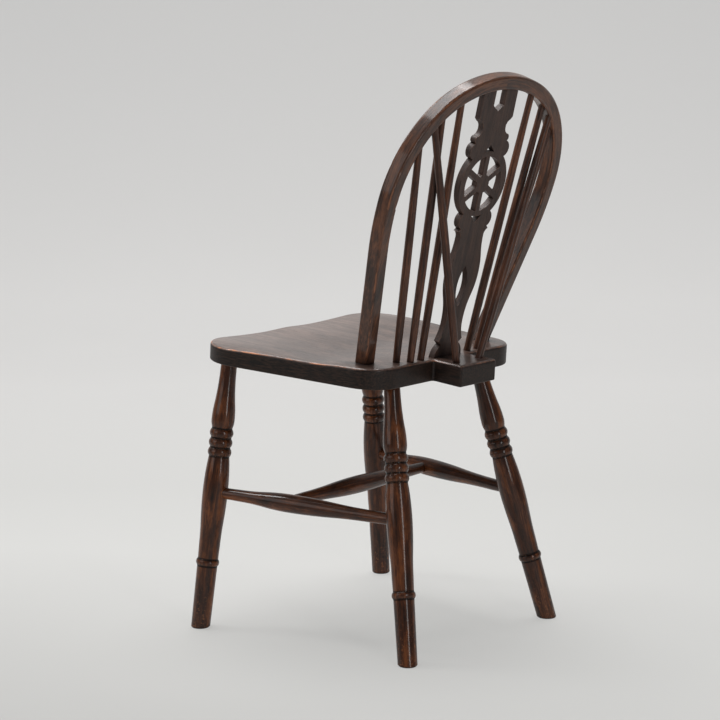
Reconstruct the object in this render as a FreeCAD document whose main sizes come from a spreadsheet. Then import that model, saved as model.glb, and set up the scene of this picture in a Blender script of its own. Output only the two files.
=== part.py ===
import FreeCAD, Part
import math
import os

import Sketcher
from FreeCAD import Placement, Rotation, Vector

# Wheelback chair: a saddled seat with a bobtail, four turned legs joined by an H of
# stretchers, and a bent hoop filled with a fretted wheel splat, six long spindles and
# two bracing spindles. The front of the chair faces -Y, its sitter's left is +X, and
# it stands on Z = 0. Sizes are in millimetres, angles in degrees.

SIZES = [
    # seat board
    ("seat_height", 457.0),
    ("seat_tilt", 3.55),
    ("seat_thickness", 34.0),
    ("seat_front", 215.0),
    ("seat_rear", 134.0),
    ("seat_front_half", 233.0),
    ("seat_rear_half", 177.0),
    ("seat_front_round", 72.0),
    ("seat_rear_round", 57.0),
    ("seat_top_arris", 5.0),
    ("seat_under_arris", 2.0),
    ("bobtail_end", 191.0),
    ("bobtail_neck_half", 41.0),
    ("bobtail_end_half", 45.0),
    ("bobtail_round", 4.0),
    # saddled top
    ("saddle_depth", 12.5),
    ("saddle_front_depth", 8.0),
    ("saddle_front_fall", 4.5),
    ("saddle_side_fall", 3.5),
    ("saddle_back", 96.0),
    ("saddle_run", 156.0),
    ("saddle_side_back", 66.0),
    ("saddle_side_run", 60.0),
    ("saddle_front_half", 190.0),
    ("saddle_middle_half", 205.0),
    ("saddle_pitch", 12.0),
    ("pommel_rise", 2.4),
    ("pommel_half", 30.0),
    # hoop
    ("hoop_station", 80.0),
    ("hoop_rake", 19.1),
    ("hoop_crest", 454.6),
    ("hoop_spring", 277.6),
    ("hoop_half", 197.6),
    ("hoop_crest_sweep", 22.1),
    ("hoop_leg_bend", 390.0),
    ("hoop_leg_lean", 12.8),
    ("hoop_width", 22.0),
    ("hoop_depth", 24.0),
    ("hoop_arris", 4.0),
    ("hoop_tenon_radius", 9.5),
    ("wedge_thickness", 3.0),
    ("wedge_tip", 0.8),
    ("wedge_length", 20.0),
    ("wedge_width", 17.0),
    # long spindles and braces
    ("spindle_inner_station", 121.0),
    ("spindle_middle_station", 121.0),
    ("spindle_outer_station", 108.6),
    ("spindle_inner_seat", 58.5),
    ("spindle_middle_seat", 84.0),
    ("spindle_outer_seat", 103.0),
    ("spindle_inner_share", 0.443),
    ("spindle_middle_share", 0.635),
    ("spindle_outer_share", 0.83),
    ("brace_station", 168.0),
    ("brace_seat", 28.5),
    ("brace_share", 0.74),
    ("brace_set_back", 4.0),
    ("spindle_foot_radius", 5.6),
    ("spindle_belly_radius", 6.5),
    ("spindle_head_radius", 5.2),
    ("spindle_belly_share", 0.36),
    ("spindle_foot_show", 4.0),
    ("spindle_head_length", 40.0),
    ("spindle_seat_depth", 14.0),
    ("spindle_hoop_depth", 3.0),
    # wheel splat
    ("splat_station", 122.0),
    ("splat_thickness", 10.0),
    ("splat_tongue", 8.0),
    ("splat_tenon_half", 25.0),
    ("splat_tenon_depth", 17.0),
    ("splat_foot_half", 34.0),
    ("splat_foot_round", 27.0),
    ("splat_notch_half", 22.0),
    ("splat_notch_height", 21.0),
    ("splat_cusp_half", 29.0),
    ("splat_cusp_height", 27.0),
    ("splat_ankle_bend", 63.0),
    ("splat_waist_half", 21.0),
    ("splat_waist_height", 60.0),
    ("splat_belly_half", 36.8),
    ("splat_belly_height", 138.0),
    ("splat_neck_half", 28.8),
    ("splat_neck_height", 198.0),
    ("splat_step_half", 36.7),
    ("splat_step_height", 208.5),
    ("splat_step_notch", 4.3),
    ("wheel_height", 283.0),
    ("wheel_radius", 57.0),
    ("wheel_rim", 13.0),
    ("wheel_hub_radius", 15.0),
    ("wheel_spoke_half", 4.6),
    ("lobe_reach", 46.0),
    ("lobe_lower_bulge", 13.6),
    ("lobe_upper_reach", 42.0),
    ("lobe_upper_bulge", 13.0),
    ("bead_notch_half", 38.7),
    ("bead_bulge", 5.8),
    ("bead_height", 361.0),
    ("bead_length", 11.0),
    ("cove_half", 36.3),
    ("cove_bulge", 11.9),
    ("cove_height", 383.5),
    ("shoulder_half", 41.2),
    ("shoulder_height", 388.0),
    ("fork_half", 13.0),
    ("fork_height", 408.0),
    ("fork_point", 9.0),
    ("keyhole_half", 12.0),
    ("keyhole_rise", 10.5),
    ("keyhole_offset", 52.0),
    ("lancet_top", 150.0),
    ("lancet_bottom", 83.0),
    ("lancet_half", 12.0),
    # legs
    ("foot_front_half", 227.5),
    ("foot_front", 195.8),
    ("foot_rear_half", 180.0),
    ("foot_rear", 195.8),
    ("head_front_half", 173.6),
    ("head_front", 174.8),
    ("head_rear_half", 108.3),
    ("head_rear", 106.1),
    ("leg_socket_depth", 16.0),
    ("foot_radius", 15.2),
    ("foot_chamfer", 2.0),
    ("ankle_radius", 16.4),
    ("collar_height", 106.8),
    ("collar_radius", 18.7),
    ("collar_half", 5.5),
    ("shin_radius", 17.0),
    ("shin_height", 135.0),
    ("calf_radius", 18.6),
    ("calf_height", 175.0),
    ("swell_radius", 20.3),
    ("swell_height", 222.0),
    ("groove_radius", 16.5),
    ("ring_height", 301.7),
    ("ring_pitch", 15.5),
    ("ring_half", 6.5),
    ("ring_radius", 19.0),
    ("vase_foot_height", 326.0),
    ("vase_radius", 18.6),
    ("vase_height", 338.0),
    ("vase_neck_radius", 16.2),
    ("vase_neck_height", 368.0),
    ("leg_top_radius", 13.0),
    ("leg_top_height", 421.0),
    ("leg_tenon_radius", 12.7),
    ("leg_tenon_show", 6.0),
    # stretchers
    ("stretcher_height", 221.0),
    ("stretcher_end_radius", 9.0),
    ("stretcher_tenon", 22.0),
    ("stretcher_neck_radius", 9.5),
    ("stretcher_neck", 45.0),
    ("side_belly_radius", 14.7),
    ("side_belly_share", 0.42),
    ("side_stop", 7.0),
    ("cross_belly_radius", 14.4),
    ("cross_share", 0.39),
    ("cross_stop", 4.0),
    # fits
    ("glue_line", 0.05),
]

doc = FreeCAD.newDocument("wheelback_chair")
sheet = doc.addObject("Spreadsheet::Sheet", "sizes")
for row, (alias, amount) in enumerate(SIZES, start=1):
    sheet.set("A%d" % row, alias)
    sheet.set("B%d" % row, str(amount))
    sheet.setAlias("B%d" % row, alias)
doc.recompute()
mm = {alias: float(sheet.get(alias)) for alias, amount in SIZES}


class Size:
    """A number together with the sheet formula that gives it."""

    def __init__(self, number, formula):
        self.number = number
        self.formula = formula

    def join(self, other, sign, rule):
        other = as_size(other)
        formula = "(%s %s %s)" % (self.formula, sign, other.formula)
        return Size(rule(self.number, other.number), formula)

    def __add__(self, other):
        return self.join(other, "+", lambda a, b: a + b)

    def __sub__(self, other):
        return self.join(other, "-", lambda a, b: a - b)

    def __mul__(self, other):
        return self.join(other, "*", lambda a, b: a * b)

    def __truediv__(self, other):
        return self.join(other, "/", lambda a, b: a / b)

    def __radd__(self, other):
        return as_size(other) + self

    def __rsub__(self, other):
        return as_size(other) - self

    def __rmul__(self, other):
        return as_size(other) * self


def as_size(amount):
    return amount if isinstance(amount, Size) else Size(amount, "%.9f" % amount)


def size(alias):
    return Size(mm[alias], "sizes.%s" % alias)


def sine(angle):
    return Size(math.sin(math.radians(angle.number)), "sin(%s)" % angle.formula)


def cosine(angle):
    return Size(math.cos(math.radians(angle.number)), "cos(%s)" % angle.formula)


def square_root(amount):
    return Size(math.sqrt(amount.number), "sqrt(%s)" % amount.formula)


def square(amount):
    return amount * amount


def sweep_radius(run, rise):
    """Radius of an arc that starts square to its rise and gains it over its run."""
    return (square(run) + square(rise)) / (2.0 * rise)


# Sketches

def plane_of(body, role):
    return next(item for item in body.Origin.OriginFeatures if item.Role == role)


def sketch_on(body, name, role, place=None):
    sketch = body.newObject("Sketcher::SketchObject", name)
    sketch.AttachmentSupport = [(plane_of(body, role), "")]
    sketch.MapMode = "FlatFace"
    if place is not None:
        sketch.AttachmentOffset = place
    return sketch


def sketch_in_space(body, name, place):
    """A sketch on a plane given in the chair's frame."""
    return sketch_on(body, name, "XY_Plane", body.Placement.inverse() * place)


def bind(sketch, constraint, amount):
    index = sketch.addConstraint(constraint)
    if "sizes." in amount.formula:
        sketch.setExpression("Constraints[%d]" % index, amount.formula)


def fix_point(sketch, edge, end, across, up):
    """Holds a point at its distances from the sketch's origin."""
    for kind, axis, amount in (("DistanceX", -2, across), ("DistanceY", -1, up)):
        if amount.number == 0:
            sketch.addConstraint(Sketcher.Constraint("PointOnObject", edge, end, axis))
        else:
            held = Sketcher.Constraint(kind, -1, 1, edge, end, amount.number)
            bind(sketch, held, amount)


def arc_between(start, finish, radius):
    """An arc that bulges to the right of its travel, or to the left if radius is negative."""
    chord = finish - start
    reach = abs(radius)
    inward = Vector(-chord.y, chord.x, 0) * (math.copysign(1.0, radius) / chord.Length)
    rise = math.sqrt(reach * reach - chord.Length * chord.Length / 4.0)
    centre = (start + finish) * 0.5 + inward * rise
    circle = Part.Circle(centre, Vector(0, 0, 1), reach)
    first, last = (start, finish) if radius > 0 else (finish, start)
    begin = math.atan2(first.y - centre.y, first.x - centre.x)
    end = math.atan2(last.y - centre.y, last.x - centre.x)
    return Part.ArcOfCircle(circle, begin, end if end > begin else end + 2.0 * math.pi)


def outline(sketch, corners, closed=True):
    """Edges from corner to corner. A corner is (across, up) or (across, up, radius):
    the radius bends the edge that leaves it, and its sign says to which side."""
    points = [(as_size(corner[0]), as_size(corner[1])) for corner in corners]
    bends = [as_size(corner[2]) if len(corner) > 2 else None for corner in corners]
    spots = [Vector(across.number, up.number, 0) for across, up in points]
    edge_count = len(corners) if closed else len(corners) - 1
    ends = []
    for index in range(edge_count):
        start, finish = spots[index], spots[(index + 1) % len(spots)]
        bend = bends[index]
        if bend is None:
            sketch.addGeometry(Part.LineSegment(start, finish))
            ends.append((1, 2))
        else:
            sketch.addGeometry(arc_between(start, finish, bend.number))
            ends.append((1, 2) if bend.number > 0 else (2, 1))
    for index in range(edge_count if closed else edge_count - 1):
        after = (index + 1) % edge_count
        meet = Sketcher.Constraint("Coincident", index, ends[index][1], after, ends[after][0])
        sketch.addConstraint(meet)
    for index in range(edge_count):
        fix_point(sketch, index, ends[index][0], *points[index])
        if bends[index] is not None:
            reach = bends[index] if bends[index].number > 0 else 0.0 - bends[index]
            bind(sketch, Sketcher.Constraint("Radius", index, reach.number), reach)
    if not closed:
        fix_point(sketch, edge_count - 1, ends[-1][1], *points[-1])


def disc(sketch, radius):
    sketch.addGeometry(Part.Circle(Vector(0, 0, 0), Vector(0, 0, 1), radius.number))
    sketch.addConstraint(Sketcher.Constraint("Coincident", 0, 3, -1, 1))
    bind(sketch, Sketcher.Constraint("Radius", 0, radius.number), radius)


def rectangle(sketch, width, height):
    half, rise = width * 0.5, height * 0.5
    outline(sketch, [(half, 0.0 - rise), (half, rise), (0.0 - half, rise), (0.0 - half, 0.0 - rise)])


# Features

def new_body(name, place=None):
    body = doc.addObject("PartDesign::Body", name)
    body.Label = name
    if place is not None:
        body.Placement = place
    return body


def feature(body, kind, name, sketch, length=None, both_ways=False):
    made = body.newObject("PartDesign::" + kind, name)
    made.Profile = (sketch, [""])
    if length is not None:
        length = as_size(length)
        made.Length = length.number
        if "sizes." in length.formula:
            made.setExpression("Length", length.formula)
    if both_ways:
        made.SideType = "Symmetric"
    return made


def turned(body, name, corners):
    """A piece turned about its own Z axis from half its outline."""
    sketch = sketch_on(body, name + "_profile", "XZ_Plane")
    outline(sketch, corners)
    made = feature(body, "Revolution", name, sketch)
    made.ReferenceAxis = (sketch, ["V_Axis"])
    made.Angle = 360.0
    return made


def bore(body, name, place, radius, depth):
    """A round hole down the -Z of its place, which is given in the chair's frame."""
    sketch = sketch_in_space(body, name + "_mouth", place)
    disc(sketch, radius)
    return feature(body, "Pocket", name, sketch, depth)


def trim(body, name, place):
    """Cuts away what lies on the -Z side of a plane in the chair's frame."""
    sketch = sketch_in_space(body, name + "_plane", place)
    rectangle(sketch, 3.0 * size("seat_front_half"), 3.0 * size("seat_front_half"))
    return feature(body, "Pocket", name, sketch, 3.0 * size("seat_thickness"))


def mirrored(body, name, originals):
    made = body.newObject("PartDesign::Mirrored", name)
    made.Originals = originals
    made.MirrorPlane = (plane_of(body, "YZ_Plane"), [""])
    body.Tip = made
    return made


def edges_at(body, place, holds):
    """Names of the tip's edges whose ends and centre pass a test in a frame of the chair."""
    doc.recompute()
    into = place.inverse() * body.Placement
    names = []
    for index, edge in enumerate(body.Tip.Shape.Edges, start=1):
        points = [vertex.Point for vertex in edge.Vertexes] + [edge.CenterOfMass]
        if all(holds(into.multVec(point)) for point in points):
            names.append("Edge%d" % index)
    return names


def soften(body, kind, name, edges, setting, alias):
    """Rounds or bevels edges of the tip by a size of the sheet."""
    sharp = body.Tip
    made = body.newObject("PartDesign::" + kind, name)
    made.Base = (sharp, edges)
    setattr(made, setting, mm[alias])
    made.setExpression(setting, "sizes." + alias)
    body.Tip = made
    return made


def facing(point, axis, side=Vector(1, 0, 0)):
    """A place at a point, with Z along an axis and X as near to a side as that allows."""
    return Placement(point, Rotation(side, Vector(0, 0, 0), axis, "ZXY"))


# Skeleton: the planes and axes that the pieces share

seat_place = Placement(
    Vector(0, 0, mm["seat_height"]), Rotation(Vector(1, 0, 0), -mm["seat_tilt"])
)
underside_place = seat_place * Placement(Vector(0, 0, -mm["seat_thickness"]), Rotation())


def on_seat(across, back):
    return seat_place.multVec(Vector(across, back, 0))


def under_seat(across, back):
    return underside_place.multVec(Vector(across, back, 0))


hoop_place = Placement(
    on_seat(0, mm["hoop_station"]), Rotation(Vector(1, 0, 0), -mm["hoop_rake"])
)

# The hoop's centre line in its own plane: a crest arc, a shoulder arc that meets it
# smoothly, a slower bend below the widest place, and a straight leg that leans inwards.
# The crest arc runs from the middle to where its normal has turned by the crest sweep.
sweep, lean = size("hoop_crest_sweep"), size("hoop_leg_lean")
crest_rise = size("hoop_crest") - size("hoop_spring")
bend_change = (size("hoop_half") - crest_rise) / (sine(sweep) + cosine(sweep) - 1.0)
crest_bend = crest_rise + bend_change * cosine(sweep)
shoulder_bend = size("hoop_half") - bend_change * sine(sweep)
shoulder_across = size("hoop_half") - shoulder_bend
crest_centre = size("hoop_crest") - crest_bend
crest_end_across = crest_bend * sine(sweep)
crest_end_up = crest_centre + crest_bend * cosine(sweep)
bend_end_across = size("hoop_half") - size("hoop_leg_bend") * (1.0 - cosine(lean))
bend_end_up = size("hoop_spring") - size("hoop_leg_bend") * sine(lean)
leg_run = size("hoop_width") * 0.75
leg_end_across = bend_end_across - (bend_end_up + leg_run) * sine(lean) / cosine(lean)
hoop_foot_across = (bend_end_across - bend_end_up * sine(lean) / cosine(lean)).number
hoop_leg_axis = Vector(sine(lean).number, 0, cosine(lean).number)


def on_hoop(side, share, set_back=0.0):
    """The point of the hoop's centre line at a share of its half width, moved back."""
    reach = share * mm["hoop_half"]
    if reach <= crest_end_across.number:
        up = crest_centre.number + math.sqrt(crest_bend.number ** 2 - reach ** 2)
    else:
        offset = reach - shoulder_across.number
        up = mm["hoop_spring"] + math.sqrt(shoulder_bend.number ** 2 - offset ** 2)
    return hoop_place.multVec(Vector(side * reach, set_back, up))


class Stick:
    """A straight piece between two points, with its own Z along it from the first."""

    def __init__(self, start, finish):
        self.start = start
        self.length = (finish - start).Length
        self.axis = (finish - start) * (1.0 / self.length)
        self.place = facing(start, self.axis)

    def at(self, distance):
        return self.start + self.axis * distance


LEFT, RIGHT = 1.0, -1.0
SIDES = (("left", LEFT), ("right", RIGHT))

spindles = {}
braces = {}
legs = {}
for side_name, side in SIDES:
    for rank in ("outer", "middle", "inner"):
        foot = on_seat(side * mm["spindle_%s_seat" % rank], mm["spindle_%s_station" % rank])
        head = on_hoop(side, mm["spindle_%s_share" % rank])
        spindles["spindle_%s_%s" % (side_name, rank)] = Stick(foot, head)
    foot = on_seat(side * mm["brace_seat"], mm["brace_station"])
    head = on_hoop(side, mm["brace_share"], mm["brace_set_back"])
    braces["brace_spindle_%s" % side_name] = Stick(foot, head)
    for end_name, end in (("front", -1.0), ("rear", 1.0)):
        foot = Vector(side * mm["foot_%s_half" % end_name], end * mm["foot_%s" % end_name], 0)
        head = under_seat(side * mm["head_%s_half" % end_name], end * mm["head_%s" % end_name])
        legs["leg_%s_%s" % (end_name, side_name)] = Stick(foot, head)

side_stretchers = {}
for side_name, side in SIDES:
    front = legs["leg_front_" + side_name].at(mm["stretcher_height"])
    rear = legs["leg_rear_" + side_name].at(mm["stretcher_height"])
    side_stretchers["stretcher_" + side_name] = Stick(front, rear)


def cross_joint(side_name):
    stick = side_stretchers["stretcher_" + side_name]
    return stick.at(mm["cross_share"] * stick.length)


cross_stretcher = Stick(cross_joint("left"), cross_joint("right"))

splat_origin = on_seat(0, mm["splat_station"])
splat = Stick(splat_origin, on_hoop(LEFT, 0.0))
splat_head = splat.length - mm["hoop_width"] / 2.0

hoop_tenons = {}
for side_name, side in SIDES:
    foot = hoop_place.multVec(Vector(side * hoop_foot_across, 0, 0))
    axis = hoop_place.Rotation.multVec(Vector(side * hoop_leg_axis.x, 0, hoop_leg_axis.z))
    hoop_tenons[side_name] = (foot, axis)

glue = size("glue_line")
lead = 0.3 * size("seat_thickness")


def down_bore(stick, start, depth):
    """Mouth and depth of a hole that receives the first end of a stick."""
    return facing(stick.at(start), stick.axis), size(depth) + start


# Seat: the board, its sockets from above and below, and the saddled top. The board is
# padded higher than its deck by a spare that the scoop of the saddle takes off again.

saddle_spare = 0.4 * size("seat_thickness")


def saddle_level(across, back):
    """Height of the saddled top against the board's flat rear deck."""
    aside = min(1.0, (across / hoop_foot_across) ** 2)
    limit = mm["saddle_back"] + (mm["saddle_side_back"] - mm["saddle_back"]) * aside
    run = mm["saddle_run"] + (mm["saddle_side_run"] - mm["saddle_run"]) * aside
    share = max(0.0, min(1.0, (limit - back) / run))
    fall = share * share * (3.0 - 2.0 * share)
    front = max(0.0, -back) / mm["seat_front"]
    narrowing = mm["saddle_middle_half"] - mm["saddle_front_half"]
    rim = mm["saddle_middle_half"] - narrowing * front ** 2
    hollow = max(0.0, 1.0 - (abs(across) / rim) ** 2.5)
    pommel = mm["pommel_rise"] * front * math.exp(-(across / mm["pommel_half"]) ** 2)
    depth = mm["saddle_depth"] + (mm["saddle_front_depth"] - mm["saddle_depth"]) * front ** 2
    shed = mm["saddle_front_fall"] * front ** 4
    shed += mm["saddle_side_fall"] * (across / mm["saddle_middle_half"]) ** 6
    return pommel - depth * fall * hollow - shed


def even_knots(spans):
    """Knots and their multiplicities for a clamped cubic with even spans."""
    return list(range(spans + 1)), [4] + [1] * (spans - 1) + [4]


def saddle_scoop():
    """The solid above the saddled surface, whose net of poles holds the heights."""
    margin = 2.0 * mm["saddle_pitch"]
    half = mm["seat_front_half"] + margin
    front, rear = -mm["seat_front"] - margin, mm["bobtail_end"] + margin
    columns = 2 * int(half / (2.0 * mm["saddle_pitch"])) + 1
    rows = int((rear - front) / mm["saddle_pitch"]) + 1
    net = []
    for i in range(columns):
        across = half * (2.0 * i / (columns - 1) - 1.0)
        backs = [front + (rear - front) * j / (rows - 1) for j in range(rows)]
        net.append([Vector(across, back, saddle_level(across, back)) for back in backs])
    knots_across, folds_across = even_knots(columns - 3)
    knots_back, folds_back = even_knots(rows - 3)
    top = Part.BSplineSurface()
    top.buildFromPolesMultsKnots(
        net, folds_across, folds_back, knots_across, knots_back, False, False, 3, 3)
    return top.toShape().extrude(Vector(0, 0, 3.0 * saddle_spare.number))


def make_seat():
    body = new_body("seat_board", seat_place)
    raised = Placement(Vector(0, 0, saddle_spare.number), Rotation())
    plan = sketch_on(body, "plan", "XY_Plane", raised)
    front, rear = 0.0 - size("seat_front"), size("seat_rear")
    end = size("bobtail_end")
    neck, tail = size("bobtail_neck_half"), size("bobtail_end_half")
    outline(plan, [
        (0, front), (size("seat_front_half"), front), (size("seat_rear_half"), rear),
        (neck, rear), (tail, end), (0, end),
    ])
    board = feature(body, "Pad", "board", plan, size("seat_thickness") + saddle_spare)
    board.Reversed = True
    mirrored(body, "whole_board", [board])
    for name, alias, across, back in (
        ("front_corners", "seat_front_round", mm["seat_front_half"], -mm["seat_front"]),
        ("rear_corners", "seat_rear_round", mm["seat_rear_half"], mm["seat_rear"]),
        ("bobtail_corners", "bobtail_round", mm["bobtail_end_half"], mm["bobtail_end"]),
        ("bobtail_inner_corners", "bobtail_round", mm["bobtail_neck_half"], mm["seat_rear"]),
    ):
        upright = edges_at(body, seat_place, lambda point: (
            abs(abs(point.x) - across) < 0.01 and abs(point.y - back) < 0.01))
        soften(body, "Fillet", name, upright, "Radius", alias)
    lower = edges_at(body, underside_place, lambda point: abs(point.z) < 0.01)
    soften(body, "Fillet", "under_arris", lower, "Radius", "seat_under_arris")
    sockets = []
    for name, stick in list(spindles.items()) + list(braces.items()):
        if "left" in name:
            mouth, depth = down_bore(stick, lead.number, "spindle_seat_depth")
            foot = size("spindle_foot_radius") + glue
            sockets.append(bore(body, name + "_socket", mouth, foot, depth))
    for name, stick in legs.items():
        if "left" in name:
            mouth = facing(stick.at(stick.length - lead.number), stick.axis * -1.0)
            depth = size("leg_socket_depth") + lead
            tenon = size("leg_tenon_radius") + glue
            sockets.append(bore(body, name + "_socket", mouth, tenon, depth))
    foot, axis = hoop_tenons["left"]
    mouth = facing(foot + axis * lead.number, axis)
    through = size("seat_thickness") * 2.0
    sockets.append(bore(body, "hoop_socket", mouth, size("hoop_tenon_radius") + glue, through))
    mirrored(body, "right_sockets", sockets)
    slot = sketch_in_space(body, "splat_mouth", facing(splat.at(lead.number), splat.axis))
    rectangle(slot, 2.0 * (size("splat_tenon_half") + glue), size("splat_thickness") + 2.0 * glue)
    mortise = feature(body, "Pocket", "splat_mortise", slot, size("splat_tenon_depth") + lead)
    body.Tip = mortise

    scoop = doc.addObject("Part::Feature", "saddle_scoop")
    scoop.Shape = saddle_scoop()
    scoop.Placement = seat_place
    saddled = doc.addObject("Part::Cut", "saddled_board")
    saddled.Base = body
    saddled.Tool = scoop
    doc.recompute()
    softened = doc.addObject("Part::Fillet", "softened_rim")
    softened.Base = saddled
    softened.Edges = [(number, mm["seat_top_arris"], mm["seat_top_arris"])
                      for number in rim_numbers(saddled.Shape)]
    return softened


def rim_numbers(shape):
    """Numbers of the edges that the board's sides share with its saddled top."""
    inverse = seat_place.inverse()
    numbers = []
    for index, edge in enumerate(shape.Edges, start=1):
        points = [inverse.multVec(vertex.Point) for vertex in edge.Vertexes]
        faces = shape.ancestorsOfType(edge, Part.Face)
        tops = [face for face in faces if isinstance(face.Surface, Part.BSplineSurface)]
        sides = [face for face in faces if is_side(face)]
        if tops and sides and min(point.z for point in points) > -mm["seat_thickness"]:
            numbers.append(index)
    return numbers


def is_side(face):
    """Whether a face stands square to the seat's plane at the board's rim."""
    low_u, high_u, low_v, high_v = face.ParameterRange
    outward = face.normalAt((low_u + high_u) / 2.0, (low_v + high_v) / 2.0)
    if abs(seat_place.Rotation.inverted().multVec(outward).z) > 0.001:
        return False
    return face.BoundBox.DiagonalLength > 0.9 * mm["seat_thickness"]


# Hoop: half the bend is swept, mirrored, cut to the seat and given its round tenons

def make_hoop():
    body = new_body("hoop", hoop_place)
    path = sketch_on(body, "bend", "XZ_Plane")
    outline(path, [
        (0, size("hoop_crest"), 0.0 - crest_bend),
        (crest_end_across, crest_end_up, 0.0 - shoulder_bend),
        (size("hoop_half"), size("hoop_spring"), 0.0 - size("hoop_leg_bend")),
        (bend_end_across, bend_end_up),
        (leg_end_across, 0.0 - leg_run),
    ], closed=False)
    section = sketch_on(body, "section", "YZ_Plane")
    across, up, soft = size("hoop_depth") * 0.5, size("hoop_width") * 0.5, size("hoop_arris")
    crest = size("hoop_crest")
    outline(section, [
        (across, crest - up + soft), (across, crest + up - soft, soft),
        (across - soft, crest + up), (soft - across, crest + up, soft),
        (0.0 - across, crest + up - soft), (0.0 - across, crest - up + soft, soft),
        (soft - across, crest - up), (across - soft, crest - up, soft),
    ])
    bend = body.newObject("PartDesign::AdditivePipe", "bent_stick")
    bend.Profile = (section, [""])
    bend.Spine = (path, [""])
    mirrored(body, "whole_bend", [bend])
    trim(body, "seat_cut", seat_place)

    right_half = []
    foot, axis = hoop_tenons["left"]
    root = foot + axis * (mm["hoop_width"] / 2.0)
    stub = sketch_in_space(body, "tenon_root", facing(root, axis * -1.0))
    disc(stub, size("hoop_tenon_radius"))
    right_half.append(feature(body, "Pad", "tenon", stub, size("seat_thickness") * 2.0))
    for name, stick in list(spindles.items()) + list(braces.items()):
        if "left" in name:
            back_off = mm["spindle_head_length"]
            mouth = facing(stick.at(stick.length - back_off), stick.axis * -1.0)
            depth = size("spindle_hoop_depth") + back_off
            head = size("spindle_head_radius") + glue
            right_half.append(bore(body, name + "_socket", mouth, head, depth))
    prong = 0.5 * (size("shoulder_half") - size("fork_half"))
    start = splat_head - lead.number
    mouth = facing(
        splat.at(start) + Vector(mm["fork_half"] + prong.number, 0, 0), splat.axis * -1.0
    )
    slot = sketch_in_space(body, "splat_mouth", mouth)
    rectangle(slot, 2.0 * (prong + glue), size("splat_thickness") + 2.0 * glue)
    right_half.append(feature(body, "Pocket", "splat_mortise", slot, size("splat_tongue") + lead))
    kerf = sketch_in_space(body, "kerf_outline", wedge_place("left"))
    wedge_outline(kerf, 0.0)
    across = 4.0 * size("hoop_tenon_radius")
    right_half.append(feature(body, "Pocket", "kerf", kerf, across, both_ways=True))
    mirrored(body, "right_side", right_half)
    trim(body, "underside_cut", underside_place)
    return body


# Wedges: thin tapers in the kerfs of the hoop's tenons, flush with the underside

def tenon_end(side_name):
    """Where the axis of a hoop tenon leaves the underside of the seat."""
    foot, axis = hoop_tenons[side_name]
    normal = seat_place.Rotation.multVec(Vector(0, 0, 1))
    return foot - axis * (mm["seat_thickness"] / axis.dot(normal))


def wedge_place(side_name):
    """X across the wedge's thickness, Y up the tenon, Z across the tenon."""
    foot, axis = hoop_tenons[side_name]
    wide = seat_place.Rotation.multVec(Vector(0, 1, 0))
    wide = (wide - axis * wide.dot(axis)).normalize()
    return Placement(tenon_end(side_name), Rotation(axis.cross(wide), axis, wide, "YZX"))


def wedge_outline(sketch, ease):
    half, tip = size("wedge_thickness") * 0.5 - ease, size("wedge_tip") * 0.5 - ease
    below = -0.6 * size("wedge_length")
    spread = (half - tip) / size("wedge_length")
    wide = half - below * spread
    outline(sketch, [
        (wide, below), (tip, size("wedge_length")), (0.0 - tip, size("wedge_length")),
        (0.0 - wide, below),
    ])


def make_wedge(name, side_name):
    body = new_body(name, wedge_place(side_name))
    sketch = sketch_on(body, "taper", "XY_Plane")
    wedge_outline(sketch, glue)
    feature(body, "Pad", "wedge", sketch, size("wedge_width"), both_ways=True)
    trim(body, "underside_cut", underside_place)
    return body


# Splat: half the fretted outline, mirrored, with the wheel's six windows

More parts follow.
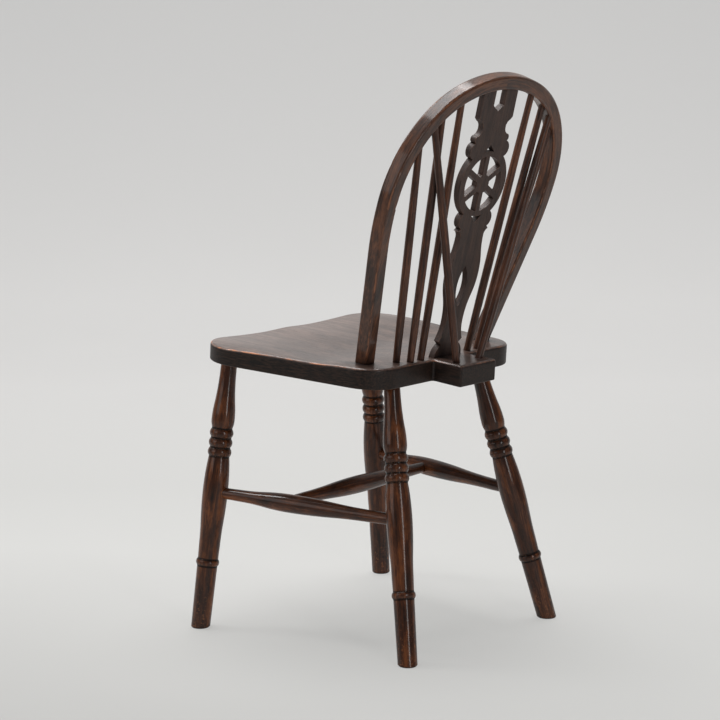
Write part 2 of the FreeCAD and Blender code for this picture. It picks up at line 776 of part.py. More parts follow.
def make_splat():
    body = new_body("wheel_splat", splat.place)
    thickness = size("splat_thickness")
    flare = sweep_radius(size("splat_step_height") - size("splat_neck_height"),
                         size("splat_step_half") - size("splat_neck_half"))
    waist, belly, neck = size("splat_waist_half"), size("splat_belly_half"), size("splat_neck_half")
    waist_up, belly_up, neck_up = (
        size("splat_waist_height"), size("splat_belly_height"), size("splat_neck_height")
    )
    rise_run, rise = (belly_up - waist_up) * 0.5, (belly - waist) * 0.5
    fall_run, fall = (neck_up - belly_up) * 0.5, (belly - neck) * 0.5
    wheel, wheel_up = size("wheel_radius"), size("wheel_height")
    lower, upper = size("lobe_reach"), size("lobe_upper_reach")
    lower_half = square_root(square(wheel) - square(lower))
    upper_half = square_root(square(wheel) - square(upper))
    top = as_size(splat_head) + size("splat_tongue")
    sunk = -0.6 * thickness
    fret = sketch_on(body, "fret", "XZ_Plane")
    outline(fret, [
        (0, sunk),
        (size("splat_foot_half"), sunk),
        (size("splat_foot_half"), 0, size("splat_foot_round")),
        (size("splat_notch_half"), size("splat_notch_height")),
        (size("splat_cusp_half"), size("splat_cusp_height"), 0.0 - size("splat_ankle_bend")),
        (waist, waist_up, 0.0 - sweep_radius(rise_run, rise)),
        (waist + rise, waist_up + rise_run, sweep_radius(rise_run, rise)),
        (belly, belly_up, sweep_radius(fall_run, fall)),
        (neck + fall, neck_up - fall_run, 0.0 - sweep_radius(fall_run, fall)),
        (neck, neck_up, 0.0 - flare),
        (size("splat_step_half"), size("splat_step_height")),
        (size("splat_step_half") - size("splat_step_notch"),
         size("splat_step_height") + size("splat_step_notch"), size("lobe_lower_bulge")),
        (lower_half, wheel_up - lower, wheel),
        (upper_half, wheel_up + upper, size("lobe_upper_bulge")),
        (size("bead_notch_half"), size("bead_height") - size("bead_length"), size("bead_bulge")),
        (size("cove_half"), size("bead_height"), 0.0 - size("cove_bulge")),
        (size("cove_half"), size("cove_height")),
        (size("shoulder_half"), size("shoulder_height")),
        (size("shoulder_half"), top),
        (size("fork_half"), top),
        (size("fork_half"), size("fork_height")),
        (0, size("fork_height") - size("fork_point")),
    ])
    board = feature(body, "Pad", "fretted_board", fret, thickness, both_ways=True)
    mirrored(body, "whole_fret", [board])
    trim(body, "seat_cut", seat_place)
    tenon = sketch_on(body, "tenon_outline", "XZ_Plane")
    depth = size("splat_tenon_depth")
    outline(tenon, [
        (size("splat_tenon_half"), 0.0 - depth), (size("splat_tenon_half"), 0.3 * thickness),
        (0.0 - size("splat_tenon_half"), 0.3 * thickness),
        (0.0 - size("splat_tenon_half"), 0.0 - depth),
    ])
    feature(body, "Pad", "tenon", tenon, thickness, both_ways=True)

    through = thickness * 2.0
    inner, hub, spoke = wheel - size("wheel_rim"), size("wheel_hub_radius"), size("wheel_spoke_half")
    hub_place = Placement(Vector(0, mm["wheel_height"], 0), Rotation())
    window = sketch_on(body, "window", "XZ_Plane", hub_place)
    corners = []
    for reach, turn in ((hub, -1.0), (inner, -1.0), (inner, 1.0), (hub, 1.0)):
        # a point at this reach from the hub, a spoke's half width from its centre line
        along = square_root(square(reach) - square(spoke))
        across = along * math.cos(math.pi / 6.0) + spoke * math.sin(math.pi / 6.0)
        up = along * math.sin(math.pi / 6.0) - spoke * math.cos(math.pi / 6.0)
        corners.append((across, up * turn))
    corners[1] = corners[1] + (inner,)
    corners[3] = corners[3] + (0.0 - hub,)
    outline(window, corners)
    opening = feature(body, "Pocket", "wheel_window", window, through, both_ways=True)
    ring = body.newObject("PartDesign::PolarPattern", "wheel_windows")
    ring.Originals = [opening]
    ring.Axis = (window, ["N_Axis"])
    ring.Angle = 360.0
    ring.Occurrences = 6
    body.Tip = ring

    half, rise, offset = size("keyhole_half"), size("keyhole_rise"), size("keyhole_offset")
    drop = square_root(square(offset) - square(half))
    holes = sketch_on(body, "upper_keyhole", "XZ_Plane")
    outline(holes, [
        (half, wheel_up + drop), (0, wheel_up + offset + rise),
        (0.0 - half, wheel_up + drop, 0.0 - offset),
    ])
    feature(body, "Pocket", "keyhole_above_wheel", holes, through, both_ways=True)
    holes = sketch_on(body, "lower_keyhole", "XZ_Plane")
    outline(holes, [
        (half, wheel_up - drop, 0.0 - offset), (0.0 - half, wheel_up - drop),
        (0, wheel_up - offset - rise),
    ])
    feature(body, "Pocket", "keyhole_below_wheel", holes, through, both_ways=True)
    half = size("lancet_half")
    run = (size("lancet_top") - size("lancet_bottom")) * 0.5
    curve = sweep_radius(run, half)
    holes = sketch_on(body, "lancet_outline", "XZ_Plane")
    outline(holes, [(0, size("lancet_bottom"), curve), (0, size("lancet_top"), curve)])
    feature(body, "Pocket", "lancet", holes, through, both_ways=True)
    return body


# Turned sticks

def make_spindle(name, stick):
    body = new_body(name, stick.place)
    foot, belly, head = (
        size("spindle_foot_radius"), size("spindle_belly_radius"), size("spindle_head_radius")
    )
    below = 0.0 - size("spindle_seat_depth")
    swell = stick.length * size("spindle_belly_share")
    top = as_size(stick.length) + size("spindle_hoop_depth")
    neck = stick.length - size("spindle_head_length")
    show = size("spindle_foot_show")
    turned(body, "stick", [
        (0, below), (foot, below), (foot, show, sweep_radius(swell - show, belly - foot)),
        (belly, swell, sweep_radius(neck - swell, belly - head)), (head, neck), (head, top), (0, top),
    ])
    return body


def make_leg(name, stick):
    body = new_body(name, stick.place)
    groove, ring_half, pitch = size("groove_radius"), size("ring_half"), size("ring_pitch")
    ring_bulge = sweep_radius(ring_half, size("ring_radius") - groove)
    collar_up, collar_half = size("collar_height"), size("collar_half")
    ankle = size("ankle_radius")
    shin, shin_up = size("shin_radius"), size("shin_height")
    calf, calf_up = size("calf_radius"), size("calf_height")
    calf_bend = sweep_radius(calf_up - shin_up, calf - shin)
    swell, swell_up = size("swell_radius"), size("swell_height")
    first_ring = size("ring_height") - pitch - ring_half
    under_floor = -0.5 * size("foot_radius")
    corners = [
        (0, under_floor),
        (size("foot_radius"), under_floor),
        (ankle, collar_up - collar_half, sweep_radius(collar_half, size("collar_radius") - ankle)),
        (ankle, collar_up + collar_half),
        (shin, shin_up, 0.0 - calf_bend),
        (calf, calf_up, sweep_radius(swell_up - calf_up, swell - calf)),
        (swell, swell_up, sweep_radius(first_ring - swell_up, swell - groove)),
    ]
    for step in (-1.0, 0.0, 1.0):
        middle = size("ring_height") + step * pitch
        corners.append((groove, middle - ring_half, ring_bulge))
        corners.append((groove, middle + ring_half))
    vase_foot_up = size("vase_foot_height")
    vase, vase_up = size("vase_radius"), size("vase_height")
    neck, neck_up = size("vase_neck_radius"), size("vase_neck_height")
    top, top_up = size("leg_top_radius"), size("leg_top_height")
    end = as_size(stick.length) + size("leg_socket_depth")
    corners += [
        (groove, vase_foot_up, sweep_radius(vase_up - vase_foot_up, vase - groove)),
        (vase, vase_up, sweep_radius(neck_up - vase_up, vase - neck)),
        (neck, neck_up, 0.0 - sweep_radius(top_up - neck_up, neck - top)),
        (top, top_up),
        (size("leg_tenon_radius"), stick.length - size("leg_tenon_show")),
        (size("leg_tenon_radius"), end),
        (0, end),
    ]
    turned(body, "turning", corners)
    trim(body, "floor_cut", Placement())
    sole = edges_at(body, Placement(), lambda point: abs(point.z) < 0.01)
    soften(body, "Chamfer", "sole_bevel", sole, "Size", "foot_chamfer")
    end_name, side_name = name.split("_")[1:]
    rail = side_stretchers["stretcher_" + side_name]
    outset = 1.5 * mm["swell_radius"]
    near = outset if end_name == "front" else rail.length - outset
    towards = rail.axis if end_name == "front" else rail.axis * -1.0
    bore(body, "stretcher_socket", facing(rail.at(near), towards),
         size("stretcher_end_radius") + glue, outset - size("side_stop"))
    return body


def stretcher_corners(length, stop, belly, belly_up):
    """Half the outline of a stretcher that swells from slim necks to its belly."""
    end, neck = size("stretcher_end_radius"), size("stretcher_neck_radius")
    start = size("stretcher_neck")
    swell = (belly - neck) * 0.5
    front_run, rear_run = (belly_up - start) * 0.5, (length - start - belly_up) * 0.5
    front_bend, rear_bend = sweep_radius(front_run, swell), sweep_radius(rear_run, swell)
    tenon = size("stretcher_tenon")
    return [
        (0, stop), (end, stop), (end, tenon), (neck, start, 0.0 - front_bend),
        (neck + swell, start + front_run, front_bend),
        (belly, belly_up, rear_bend),
        (neck + swell, belly_up + rear_run, 0.0 - rear_bend),
        (neck, length - start), (end, length - tenon), (end, length - stop), (0, length - stop),
    ]


def make_side_stretcher(name, stick):
    body = new_body(name, stick.place)
    length = as_size(stick.length)
    belly_up = length * size("side_belly_share")
    turned(body, "turning", stretcher_corners(
        length, size("side_stop"), size("side_belly_radius"), belly_up))
    start = name.endswith("left")
    inner = cross_stretcher.axis if start else cross_stretcher.axis * -1.0
    outset = 2.0 * mm["side_belly_radius"]
    joint = cross_stretcher.start if start else cross_stretcher.at(cross_stretcher.length)
    bore(body, "cross_socket", facing(joint + inner * outset, inner),
         size("stretcher_end_radius") + glue, outset - size("cross_stop"))
    return body


def make_cross_stretcher():
    body = new_body("stretcher_cross", cross_stretcher.place)
    length = as_size(cross_stretcher.length)
    turned(body, "turning", stretcher_corners(
        length, size("cross_stop"), size("cross_belly_radius"), length * 0.5))
    return body


pieces = {"seat": make_seat(), "hoop": make_hoop(), "wheel_splat": make_splat()}
pieces["seat"].Label = "seat"
for side_name, side in SIDES:
    wedge = "hoop_wedge_" + side_name
    pieces[wedge] = make_wedge(wedge, side_name)
for name, stick in list(spindles.items()) + list(braces.items()):
    pieces[name] = make_spindle(name, stick)
for name, stick in legs.items():
    pieces[name] = make_leg(name, stick)
for name, stick in side_stretchers.items():
    pieces[name] = make_side_stretcher(name, stick)
pieces["stretcher_cross"] = make_cross_stretcher()
doc.recompute()

for item in doc.Objects:
    if "Invalid" in item.State or "Error" in item.State:
        raise RuntimeError("%s is %s" % (item.Label, item.State))
for name, piece in pieces.items():
    if piece.Shape.isNull() or not piece.Shape.isValid() or len(piece.Shape.Solids) != 1:
        raise RuntimeError("%s has no single sound solid" % name)

# The origin is on the floor under the middle of the chair's box
box = FreeCAD.BoundBox()
for piece in pieces.values():
    box.add(piece.Shape.optimalBoundingBox())
centring = Placement(Vector(-box.Center.x, -box.Center.y, -box.ZMin), Rotation())

os.makedirs("parts", exist_ok=True)
for name, piece in pieces.items():
    shape = piece.Shape.copy()
    shape.Placement = centring * shape.Placement
    shape.exportStep("parts/%s.step" % name)
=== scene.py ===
import math

import bmesh
import bpy
from mathutils import Matrix, Vector

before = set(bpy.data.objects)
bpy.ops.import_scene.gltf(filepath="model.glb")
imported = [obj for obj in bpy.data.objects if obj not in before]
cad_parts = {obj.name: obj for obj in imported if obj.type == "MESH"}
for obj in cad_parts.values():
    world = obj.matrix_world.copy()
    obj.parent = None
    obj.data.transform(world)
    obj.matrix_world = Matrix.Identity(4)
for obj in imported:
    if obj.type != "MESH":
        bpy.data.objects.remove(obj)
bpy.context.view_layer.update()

# Wheelback chair in dark stained beech and elm. Lengths are in metres, the front of the
# chair faces -Y, its sitter's left is +X, and it stands on Z = 0.

# Shader maths


class Wire:
    """One output socket of a material. Arithmetic on it adds Math nodes."""

    def __init__(self, finish, socket):
        self.finish = finish
        self.socket = socket

    def math(self, operation, *terms, clamp=False):
        settings = {"operation": operation, "use_clamp": clamp}
        return self.finish.node("ShaderNodeMath", settings, dict(enumerate((self,) + terms)))

    def __add__(self, other):
        return self.math("ADD", other)

    def __radd__(self, other):
        return self.math("ADD", other)

    def __sub__(self, other):
        return self.math("SUBTRACT", other)

    def __rsub__(self, other):
        return self.finish.node("ShaderNodeMath", {"operation": "SUBTRACT"}, {0: other, 1: self})

    def __mul__(self, other):
        return self.math("MULTIPLY", other)

    def __rmul__(self, other):
        return self.math("MULTIPLY", other)

    def __truediv__(self, other):
        return self.math("DIVIDE", other)

    def __pow__(self, other):
        return self.math("POWER", other)

    def clamp(self):
        return self.math("ADD", 0.0, clamp=True)

    def band(self, low, high):
        """0 below low, 1 above high, and smooth between them."""
        settings = {"interpolation_type": "SMOOTHSTEP"}
        return self.finish.node("ShaderNodeMapRange", settings, {0: self, 1: low, 2: high})


class Finish:
    """A material under construction."""

    def __init__(self, name):
        self.material = bpy.data.materials.new(name)
        self.material.use_nodes = True
        self.tree = self.material.node_tree
        self.tree.nodes.clear()

    def node(self, kind, settings=None, inputs=None, output=0):
        """Adds a node: its settings first, then its sockets' values or links."""
        made = self.tree.nodes.new(kind)
        for name, setting in (settings or {}).items():
            if name == "stops":
                self.fill_ramp(made, setting)
            else:
                setattr(made, name, setting)
        for key, value in (inputs or {}).items():
            if isinstance(value, Wire):
                self.tree.links.new(value.socket, made.inputs[key])
            else:
                made.inputs[key].default_value = value
        return Wire(self, made.outputs[output]) if made.outputs else None

    def fill_ramp(self, made, stops):
        elements = made.color_ramp.elements
        while len(elements) < len(stops):
            elements.new(0.5)
        for element, (position, colour) in zip(elements, stops):
            element.position = position
            element.color = colour + (1.0,)

    def along(self, place):
        """Object coordinates in a piece's own frame, with Z along its grain."""
        seen = self.node("ShaderNodeTexCoord", output="Object")
        turn = place.to_euler()
        return self.node("ShaderNodeMapping", {"vector_type": "TEXTURE"}, {
            "Vector": seen, "Location": place.to_translation(), "Rotation": turn})

    def bent(self, own, half, spring):
        """Coordinates with Z round a bend of radius half about the height spring, and
        straight down its legs."""
        across, deep, up = (self.part(own, axis) for axis in "XYZ")
        above = up.math("MAXIMUM", spring) - spring
        out = across.math("ABSOLUTE")
        radius = (out * out + above * above).math("SQRT")
        turned = above.math("ARCTAN2", out) * half + up.math("MINIMUM", spring)
        side = across.math("SIGN")
        return self.node("ShaderNodeCombineXYZ", {}, {"X": radius * side, "Y": deep, "Z": turned})

    def stretched(self, vector, scale):
        return self.node("ShaderNodeVectorMath", {"operation": "MULTIPLY"}, {0: vector, 1: scale})

    def shifted(self, vector, amount):
        return self.node("ShaderNodeVectorMath", {"operation": "ADD"}, {0: vector, 1: amount})

    def noise(self, vector, scale, detail=3.0, roughness=0.5, distortion=0.0):
        return self.node("ShaderNodeTexNoise", {}, {
            "Vector": vector, "Scale": scale, "Detail": detail,
            "Roughness": roughness, "Distortion": distortion})

    def part(self, vector, axis):
        return self.node("ShaderNodeSeparateXYZ", {}, {"Vector": vector}, output=axis)

    def mix(self, factor, first, second, blend="MIX"):
        settings = {"data_type": "RGBA", "blend_type": blend, "clamp_factor": True}
        return self.node("ShaderNodeMix", settings, {0: factor, 6: first, 7: second}, output=2)

    def close(self, surface):
        self.node("ShaderNodeOutputMaterial", {}, {"Surface": surface})
        return self.material


def rgb(red, green, blue):
    """A colour as seen on screen, 0 to 255, for a socket."""
    return tuple(((c / 255.0 + 0.055) / 1.055) ** 2.4 if c > 10 else c / 3294.6
                 for c in (red, green, blue)) + (1.0,)


# Places of the pieces: where each stick starts and ends, on the sitter's left

STICKS = {
    "spindle_left_outer": ((0.1030, 0.0955, 0.4503), (0.1640, 0.1912, 0.8109)),
    "spindle_left_middle": ((0.0840, 0.1078, 0.4495), (0.1255, 0.2036, 0.8467)),
    "spindle_left_inner": ((0.0585, 0.1078, 0.4495), (0.0875, 0.2103, 0.8660)),
    "brace_spindle_left": ((0.0285, 0.1547, 0.4466), (0.1462, 0.2016, 0.8289)),
    "leg_front_left": ((0.2275, -0.2087, 0.0), (0.1736, -0.1895, 0.4339)),
    "leg_rear_left": ((0.1800, 0.1829, 0.0), (0.1083, 0.0909, 0.4165)),
    "stretcher_left": ((0.2003, -0.1990, 0.2191), (0.1434, 0.1359, 0.2128)),
    "stretcher_cross": ((0.1781, -0.0684, 0.2167), (-0.1781, -0.0684, 0.2167)),
    "wheel_splat": ((0.0, 0.1088, 0.4495), (0.0, 0.2157, 0.8816)),
}


def stick_place(start, finish):
    """A place with Z from start to finish and X as near to the chair's X as it can be."""
    start, finish = Vector(start), Vector(finish)
    along = (finish - start).normalized()
    side = Vector((1, 0, 0)) if abs(along.x) < 0.9 else Vector((0, 1, 0))
    back = along.cross(side).normalized()
    side = back.cross(along)
    turned = Matrix((side, back, along)).transposed()
    return Matrix.Translation(start) @ turned.to_4x4()


def place_of(node):
    """The place of a stick. One on the right is the mirror of its left twin."""
    ends = STICKS[node.replace("right", "left")]
    side = -1.0 if "right" in node else 1.0
    return stick_place(*[(side * x, y, z) for x, y, z in ends])


SEAT_TILT = math.radians(3.55)
SEAT_UP = (0.0, math.sin(SEAT_TILT), math.cos(SEAT_TILT))
HOOP_RAKE = math.radians(19.1)
HOOP_BACK = (0.0, math.cos(HOOP_RAKE), -math.sin(HOOP_RAKE))
HOOP_HALF, HOOP_SPRING = 0.1976, 0.2776
LEG_GROOVES = (0.1010, 0.1123, 0.2797, 0.2940, 0.3094, 0.3248)
# the seat's grain runs from back to front, so its Z points to the front and its Y up
seat_place = (Matrix.Translation((0, -0.0129, 0.457)) @ Matrix.Rotation(-SEAT_TILT, 4, "X")
              @ Matrix.Rotation(math.radians(90), 4, "X"))
hoop_place = Matrix.Translation((0, 0.0669, 0.4520)) @ Matrix.Rotation(-HOOP_RAKE, 4, "X")


# Woods: each look is a stain from its darkest to its lightest, the bare colour that wear
# brings out, how it shines, and how strongly it is streaked, patched and worn

LOOKS = {
    "turned": {
        "tones": (rgb(30, 16, 9), rgb(66, 35, 19), rgb(114, 65, 34)), "bare": rgb(156, 98, 60),
        "roughness": 0.40, "specular": 0.09, "coat": 0.50, "coat_roughness": 0.12,
        "streaks": 0.26, "patches": 0.62, "wear": 0.8},
    "sticks": {
        "tones": (rgb(28, 17, 13), rgb(72, 45, 33), rgb(112, 70, 48)), "bare": rgb(140, 90, 62),
        "roughness": 0.42, "specular": 0.20, "coat": 0.18, "coat_roughness": 0.16,
        "streaks": 0.60, "patches": 0.45, "wear": 0.5},
    "hoop": {
        "tones": (rgb(26, 16, 12), rgb(70, 44, 31), rgb(114, 71, 47)), "bare": rgb(164, 104, 70),
        "roughness": 0.44, "specular": 0.16, "coat": 0.45, "coat_roughness": 0.12,
        "streaks": 0.50, "patches": 0.50, "wear": 0.5, "bend": (HOOP_HALF, HOOP_SPRING)},
    "splat": {
        "tones": (rgb(30, 21, 18), rgb(60, 44, 38), rgb(80, 58, 48)), "bare": rgb(118, 80, 58),
        "roughness": 0.50, "specular": 0.28, "coat": 0.08, "coat_roughness": 0.30,
        "streaks": 0.50, "patches": 0.35, "wear": 0.6},
    "seat": {
        "tones": (rgb(42, 30, 26), rgb(72, 55, 48), rgb(106, 83, 73)), "bare": rgb(180, 114, 76),
        "roughness": 0.40, "specular": 0.22, "coat": 0.58, "coat_roughness": 0.20,
        "streaks": 0.72, "patches": 0.65, "wear": 3.0},
}
# Near-black for the dark specks in the wood, and for painted shade in crevices and in the grooves of
# the legs' rings
SOOT_AND_SHADE = rgb(14, 9, 7)


def stained_wood(name, place, seed, look, arris, shade=None):
    """Stained wood with its grain along the Z of its place, and painted shade in its crevices.

    arris gives the mask of the edges that hands have rubbed, and shade changes the colour,
    the roughness and the coat, both from the piece's own coordinates."""
    finish = Finish(name)
    own = finish.along(place)
    if "bend" in look:
        own = finish.bent(own, *look["bend"])
    seeded = finish.shifted(own, (seed * 0.37, seed * 0.73, seed * 1.9))
    broad = finish.noise(finish.stretched(seeded, (1.0, 1.0, 0.09)), 90.0, 5.0, 0.65, 0.6)
    streak = finish.noise(finish.stretched(seeded, (1.0, 1.0, 0.03)), 480.0, 4.0, 0.65, 0.3)
    pores = finish.noise(finish.stretched(seeded, (1.0, 1.0, 0.04)), 1700.0, 2.0, 0.5)
    patches = finish.noise(finish.stretched(seeded, (1.0, 1.0, 0.40)), 42.0, 5.0, 0.68, 0.4)
    specks = finish.noise(seeded, 330.0, 2.0, 0.6).band(0.66, 0.74)
    share = look["streaks"]
    tone = broad * (1.0 - share) + streak * share + (patches - 0.5) * look["patches"]
    dark, middling, light = look["tones"]
    colour = finish.node("ShaderNodeValToRGB", {"stops": [
        (0.33, dark[:3]), (0.49, middling[:3]), (0.67, light[:3])]}, {"Fac": tone})
    open_pores = pores.band(0.54, 0.68)
    colour = finish.mix(open_pores * 0.45, colour, dark)
    colour = finish.mix(specks * 0.6, colour, SOOT_AND_SHADE)
    roughness = look["roughness"] + open_pores * 0.10 + (streak - 0.5) * 0.12
    coat = look["coat"]
    if shade is not None:
        colour, roughness, coat = shade(finish, own, colour, roughness, coat, streak)

    rub = finish.noise(finish.stretched(seeded, (1.0, 1.0, 0.3)), 60.0, 5.0, 0.75).band(0.46, 0.60)
    worn = (arris(finish, own) * (0.06 + rub * 0.94) * look["wear"]).clamp()
    colour = finish.mix(worn, colour, look["bare"])
    # Painted shade: where ambient occlusion finds crevices and joints closed in, the colour is
    # darkened towards near-black, and the coat there is dulled and roughened
    open_sky = finish.node("ShaderNodeAmbientOcclusion", {"samples": 8}, {"Distance": 0.014},
                           output="AO")
    painted_crevice_shade = (1.0 - open_sky).band(0.18, 0.80) * 0.85
    colour = finish.mix(painted_crevice_shade, colour, SOOT_AND_SHADE)
    height = streak * 0.25 - open_pores * 0.4 + broad * 0.25 - specks * 0.6
    bump = finish.node("ShaderNodeBump", {}, {
        "Strength": 0.30, "Distance": 0.0006, "Height": height})
    return finish.close(finish.node("ShaderNodeBsdfPrincipled", {}, {
        "Base Color": colour, "Roughness": roughness + painted_crevice_shade * 0.25, "Normal": bump,
        "Specular IOR Level": look["specular"], "Coat Weight": coat * (1.0 - painted_crevice_shade),
        "Coat Roughness": look["coat_roughness"]}))


def facing_share(finish, axis):
    """How far the surface faces along an axis, from -1 to 1."""
    normal = finish.node("ShaderNodeNewGeometry", output="Normal")
    return finish.node("ShaderNodeVectorMath", {"operation": "DOT_PRODUCT"},
                       {0: normal, 1: axis}, output="Value")


def sharp_arris(finish, own):
    """1 on sharp edges, from how far a bevelled normal leans from the true one."""
    rounded = finish.node("ShaderNodeBevel", {"samples": 6}, {"Radius": 0.0022})
    plain = finish.node("ShaderNodeNewGeometry", output="Normal")
    along = finish.node("ShaderNodeVectorMath", {"operation": "DOT_PRODUCT"},
                        {0: rounded, 1: plain}, output="Value")
    return (1.0 - along).band(0.02, 0.16)


def round_arris(axis):
    """1 along the middle of the rounded edges between faces that look along an axis and
    faces square to it."""
    def mask(finish, own):
        lean = facing_share(finish, axis).math("ABSOLUTE")
        return lean.band(0.35, 0.62) * (1.0 - lean.band(0.72, 0.92))
    return mask


def seat_arris(finish, own):
    """The seat's top arris, rubbed hardest at its front corners."""
    lean = facing_share(finish, SEAT_UP)
    front = finish.part(own, "Z").band(-0.12, 0.20)
    return lean.band(0.42, 0.62) * (1.0 - lean.band(0.74, 0.90)) * (0.10 + front * 0.90)


def ring_grooves(finish, own, colour, roughness, coat, streak):
    """Painted shade in the grooves of a leg's turned rings, with a duller coat there, and scuffs
    near its foot.
    """
    up = finish.part(own, "Z")
    near = None
    for groove in LEG_GROOVES:
        dip = 1.0 - ((up - groove).math("ABSOLUTE") / 0.0028).band(0.2, 1.0)
        near = dip if near is None else near.math("MAXIMUM", dip)
    # painted shade: the grooves are darkened towards near-black
    colour = finish.mix(near * 0.95, colour, SOOT_AND_SHADE)
    scuffs = finish.noise(own, 210.0, 4.0, 0.7).band(0.56, 0.66) * (1.0 - up.band(0.01, 0.10))
    colour = finish.mix(scuffs * 0.5, colour, LOOKS["turned"]["bare"])
    return colour, roughness + scuffs * 0.15, (1.0 - near * 0.8) * coat


def seat_sides(finish, own, colour, roughness, coat, streak):
    """Painted shade on the seat's sides, a paler front that is partly wear and partly painted sheen,
    and its dull raw underside.
    """
    lean = facing_share(finish, SEAT_UP)
    # partly wear and partly painted sheen: the front of the top is paled towards grey
    front = finish.part(own, "Z").band(0.02, 0.21)
    pale = finish.mix(streak.band(0.35, 0.68), rgb(104, 90, 84), rgb(148, 133, 126))
    colour = finish.mix(front * 0.50, colour, pale)
    # painted shade: the faces that turn away from the seat's top are darkened
    side_shade = 1.0 - lean.band(0.25, 0.70)
    dark = finish.mix(streak.band(0.35, 0.68), rgb(16, 11, 9), rgb(50, 34, 26))
    colour = finish.mix(side_shade, colour, dark)
    below = (0.0 - lean).band(0.6, 0.9)
    raw = finish.mix(streak.band(0.35, 0.68), rgb(66, 48, 37), rgb(112, 86, 66))
    colour = finish.mix(below, colour, raw)
    return colour, roughness + below * 0.25 + side_shade * 0.1, (1.0 - side_shade * 0.85) * coat


# Each family of pieces: its wood, its look, where it is rubbed, and what changes its colour: scuffs,
# raw wood, painted shade and painted sheen
FAMILIES = {
    "seat": ("elm", "seat", seat_arris, seat_sides),
    "hoop": ("ash", "hoop", round_arris(HOOP_BACK), None),
    "hoop_wedge": ("beech", "sticks", sharp_arris, None),
    "leg": ("beech", "turned", sharp_arris, ring_grooves),
    "stretcher": ("beech", "turned", sharp_arris, None),
    "wheel_splat": ("beech", "splat", sharp_arris, None),
    "spindle": ("beech", "sticks", sharp_arris, None),
    "brace_spindle": ("beech", "sticks", sharp_arris, None),
}
SET_PLACES = {"seat": seat_place, "hoop": hoop_place, "hoop_wedge": seat_place}

for index, (name, node) in enumerate(sorted(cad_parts.items())):
    family = max((kind for kind in FAMILIES if name.startswith(kind)), key=len)
    wood, look, arris, shade = FAMILIES[family]
    place = SET_PLACES[family] if family in SET_PLACES else place_of(name)
    finish = stained_wood(name + "_" + wood, place, index, LOOKS[look], arris, shade)
    node.data.materials.clear()
    node.data.materials.append(finish)

# Studio: a pale sweep with a soft light overhead, a strip for the gleam on the legs, one
# light each for the left side, the hoop's bend and the wall, and the camera

AZIMUTH = math.radians(130.23)
ELEVATION = math.radians(9.786)
CAMERA_SPOT = (3.03662, 2.50417, 1.10803)
right = Vector((math.cos(AZIMUTH), math.sin(AZIMUTH), 0.0))
back = Vector((math.sin(AZIMUTH) * math.cos(ELEVATION), -math.cos(AZIMUTH) * math.cos(ELEVATION),
               math.sin(ELEVATION)))
up = back.cross(right)
level = Vector((back.x, back.y, 0.0)).normalized()

NEAR_END, FAR_END, HALF_WIDTH, COVE, WALL = 14.0, 2.6, 9.0, 2.2, 7.0
sweep_mesh = bmesh.new()
middle_of_floor = level * (NEAR_END - FAR_END) * 0.5
floor_place = Matrix((right, level, Vector((0, 0, 1)))).transposed().to_4x4()
floor_place.translation = middle_of_floor - Vector((0, 0, 0.0004))
floor_place = floor_place @ Matrix.Diagonal((HALF_WIDTH, (NEAR_END + FAR_END) * 0.5, 1.0, 1.0))
bmesh.ops.create_grid(sweep_mesh, x_segments=1, y_segments=1, size=1.0, matrix=floor_place)
far_edge = min(sweep_mesh.edges, key=lambda edge: sum(v.co.dot(level) for v in edge.verts))
curved = bmesh.ops.spin(
    sweep_mesh, geom=[far_edge] + list(far_edge.verts), cent=level * -FAR_END + Vector((0, 0, COVE)),
    axis=right, angle=math.radians(90), steps=24)
top_edge = [item for item in curved["geom_last"] if isinstance(item, bmesh.types.BMEdge)]
raised = bmesh.ops.extrude_edge_only(sweep_mesh, edges=top_edge)
bmesh.ops.translate(sweep_mesh, vec=(0, 0, WALL - COVE), verts=[
    item for item in raised["geom"] if isinstance(item, bmesh.types.BMVert)])
bmesh.ops.recalc_face_normals(sweep_mesh, faces=sweep_mesh.faces)
sweep = bpy.data.meshes.new("studio_sweep")
sweep_mesh.to_mesh(sweep)
sweep_mesh.free()
sweep.shade_smooth()
floor = bpy.data.objects.new("studio_sweep", sweep)
bpy.context.collection.objects.link(floor)

# The sweep is plain paper, and the camera also sees it glow evenly, which softens the
# shadow on it. The glow falls off up the wall and towards the camera.
paper = Finish("pale_paper")
spot = paper.node("ShaderNodeTexCoord", output="Object")
reach = paper.node("ShaderNodeVectorMath", {"operation": "DOT_PRODUCT"},
                   {0: spot, 1: level}, output="Value")
aside = paper.node("ShaderNodeVectorMath", {"operation": "DOT_PRODUCT"},
                   {0: spot, 1: right}, output="Value")
speckle = paper.noise(spot, 2.0, 4.0)
glow = paper.node("ShaderNodeValToRGB", {"stops": [
    (0.0, rgb(190, 190, 190)[:3]), (0.30, rgb(222, 221, 220)[:3]), (0.44, rgb(219, 218, 217)[:3]),
    (0.60, rgb(204, 204, 202)[:3]), (0.70, rgb(210, 210, 208)[:3]), (1.0, rgb(168, 168, 166)[:3])
]}, {"Fac": (reach + 5.2 - aside * reach.band(-1.0, 0.6) * 1.2) / 7.0})
glow = paper.mix(speckle * 0.3, glow, rgb(206, 205, 203))
sheet = paper.node("ShaderNodeBsdfPrincipled", {}, {
    "Base Color": rgb(226, 225, 222), "Roughness": 0.8, "Specular IOR Level": 0.1})
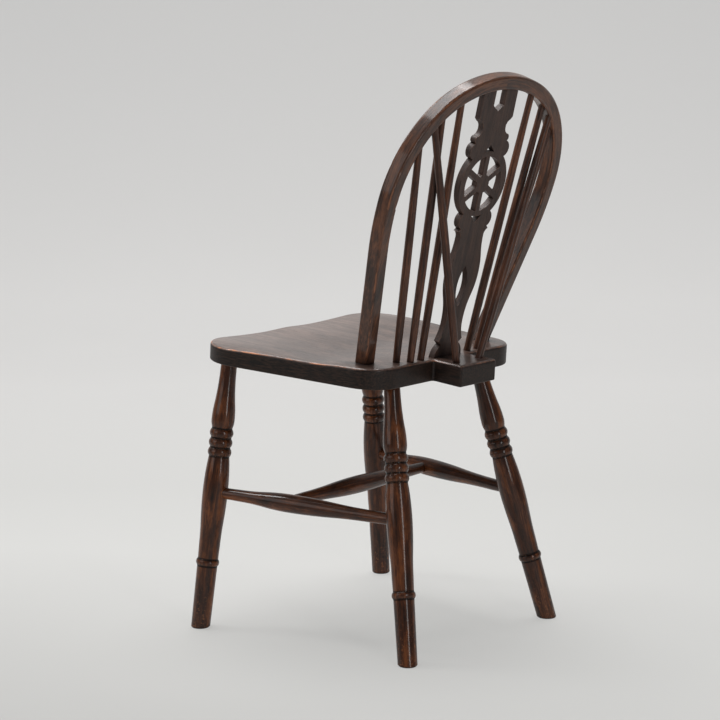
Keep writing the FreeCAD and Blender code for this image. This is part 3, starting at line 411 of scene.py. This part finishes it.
shine = paper.node("ShaderNodeEmission", {}, {"Color": glow, "Strength": 1.0})
seen = paper.node("ShaderNodeLightPath", output="Is Camera Ray")
mirrored = paper.node("ShaderNodeLightPath", output="Is Glossy Ray")
floor.data.materials.append(paper.close(paper.node("ShaderNodeMixShader", {}, {
    0: seen.math("MAXIMUM", mirrored) * 0.74, 1: sheet, 2: shine})))

world = bpy.data.worlds.new("studio")
bpy.context.scene.world = world
world.use_nodes = True
world.node_tree.nodes["Background"].inputs["Color"].default_value = rgb(236, 238, 242)
world.node_tree.nodes["Background"].inputs["Strength"].default_value = 0.19


def softbox(name, spot, target, width, height, power, colour=(1.0, 1.0, 1.0)):
    lamp = bpy.data.lights.new(name, "AREA")
    lamp.shape = "RECTANGLE"
    lamp.size, lamp.size_y = width, height
    lamp.energy = power
    lamp.color = colour
    holder = bpy.data.objects.new(name, lamp)
    holder.location = spot
    holder.rotation_euler = (Vector(target) - Vector(spot)).to_track_quat("-Z", "Y").to_euler()
    bpy.context.collection.objects.link(holder)
    return holder


middle = Vector((0.0, 0.0, 0.45))
softbox("overhead", middle - right * 0.3 - level * 0.4 + Vector((0, 0, 2.1)), middle, 1.6, 1.6, 54.0)
softbox("strip", middle + right * 1.5 + level * 2.9 + Vector((0, 0, 0.7)), middle, 0.50, 1.9, 21.0)
softbox("side", middle - right * 3.2 + level * 1.6 + Vector((0, 0, 1.3)), middle, 2.2, 2.2, 20.0)
softbox("bend", middle - right * 1.9 - level * 0.5 + Vector((0, 0, 2.1)), middle, 0.6, 0.6, 16.0)
softbox("wall", middle - level * 1.2 + Vector((0, 0, 2.9)), middle - level * 4.2, 3.0, 1.0, 60.0)

lens = bpy.data.cameras.new("camera")
lens.sensor_width = 36.0
lens.lens = 125.0
camera = bpy.data.objects.new("camera", lens)
turned = Matrix((right, up, back)).transposed().to_4x4()
camera.matrix_world = Matrix.Translation(CAMERA_SPOT) @ turned
bpy.context.collection.objects.link(camera)
bpy.context.scene.camera = camera
bpy.context.scene.view_settings.view_transform = "Standard"
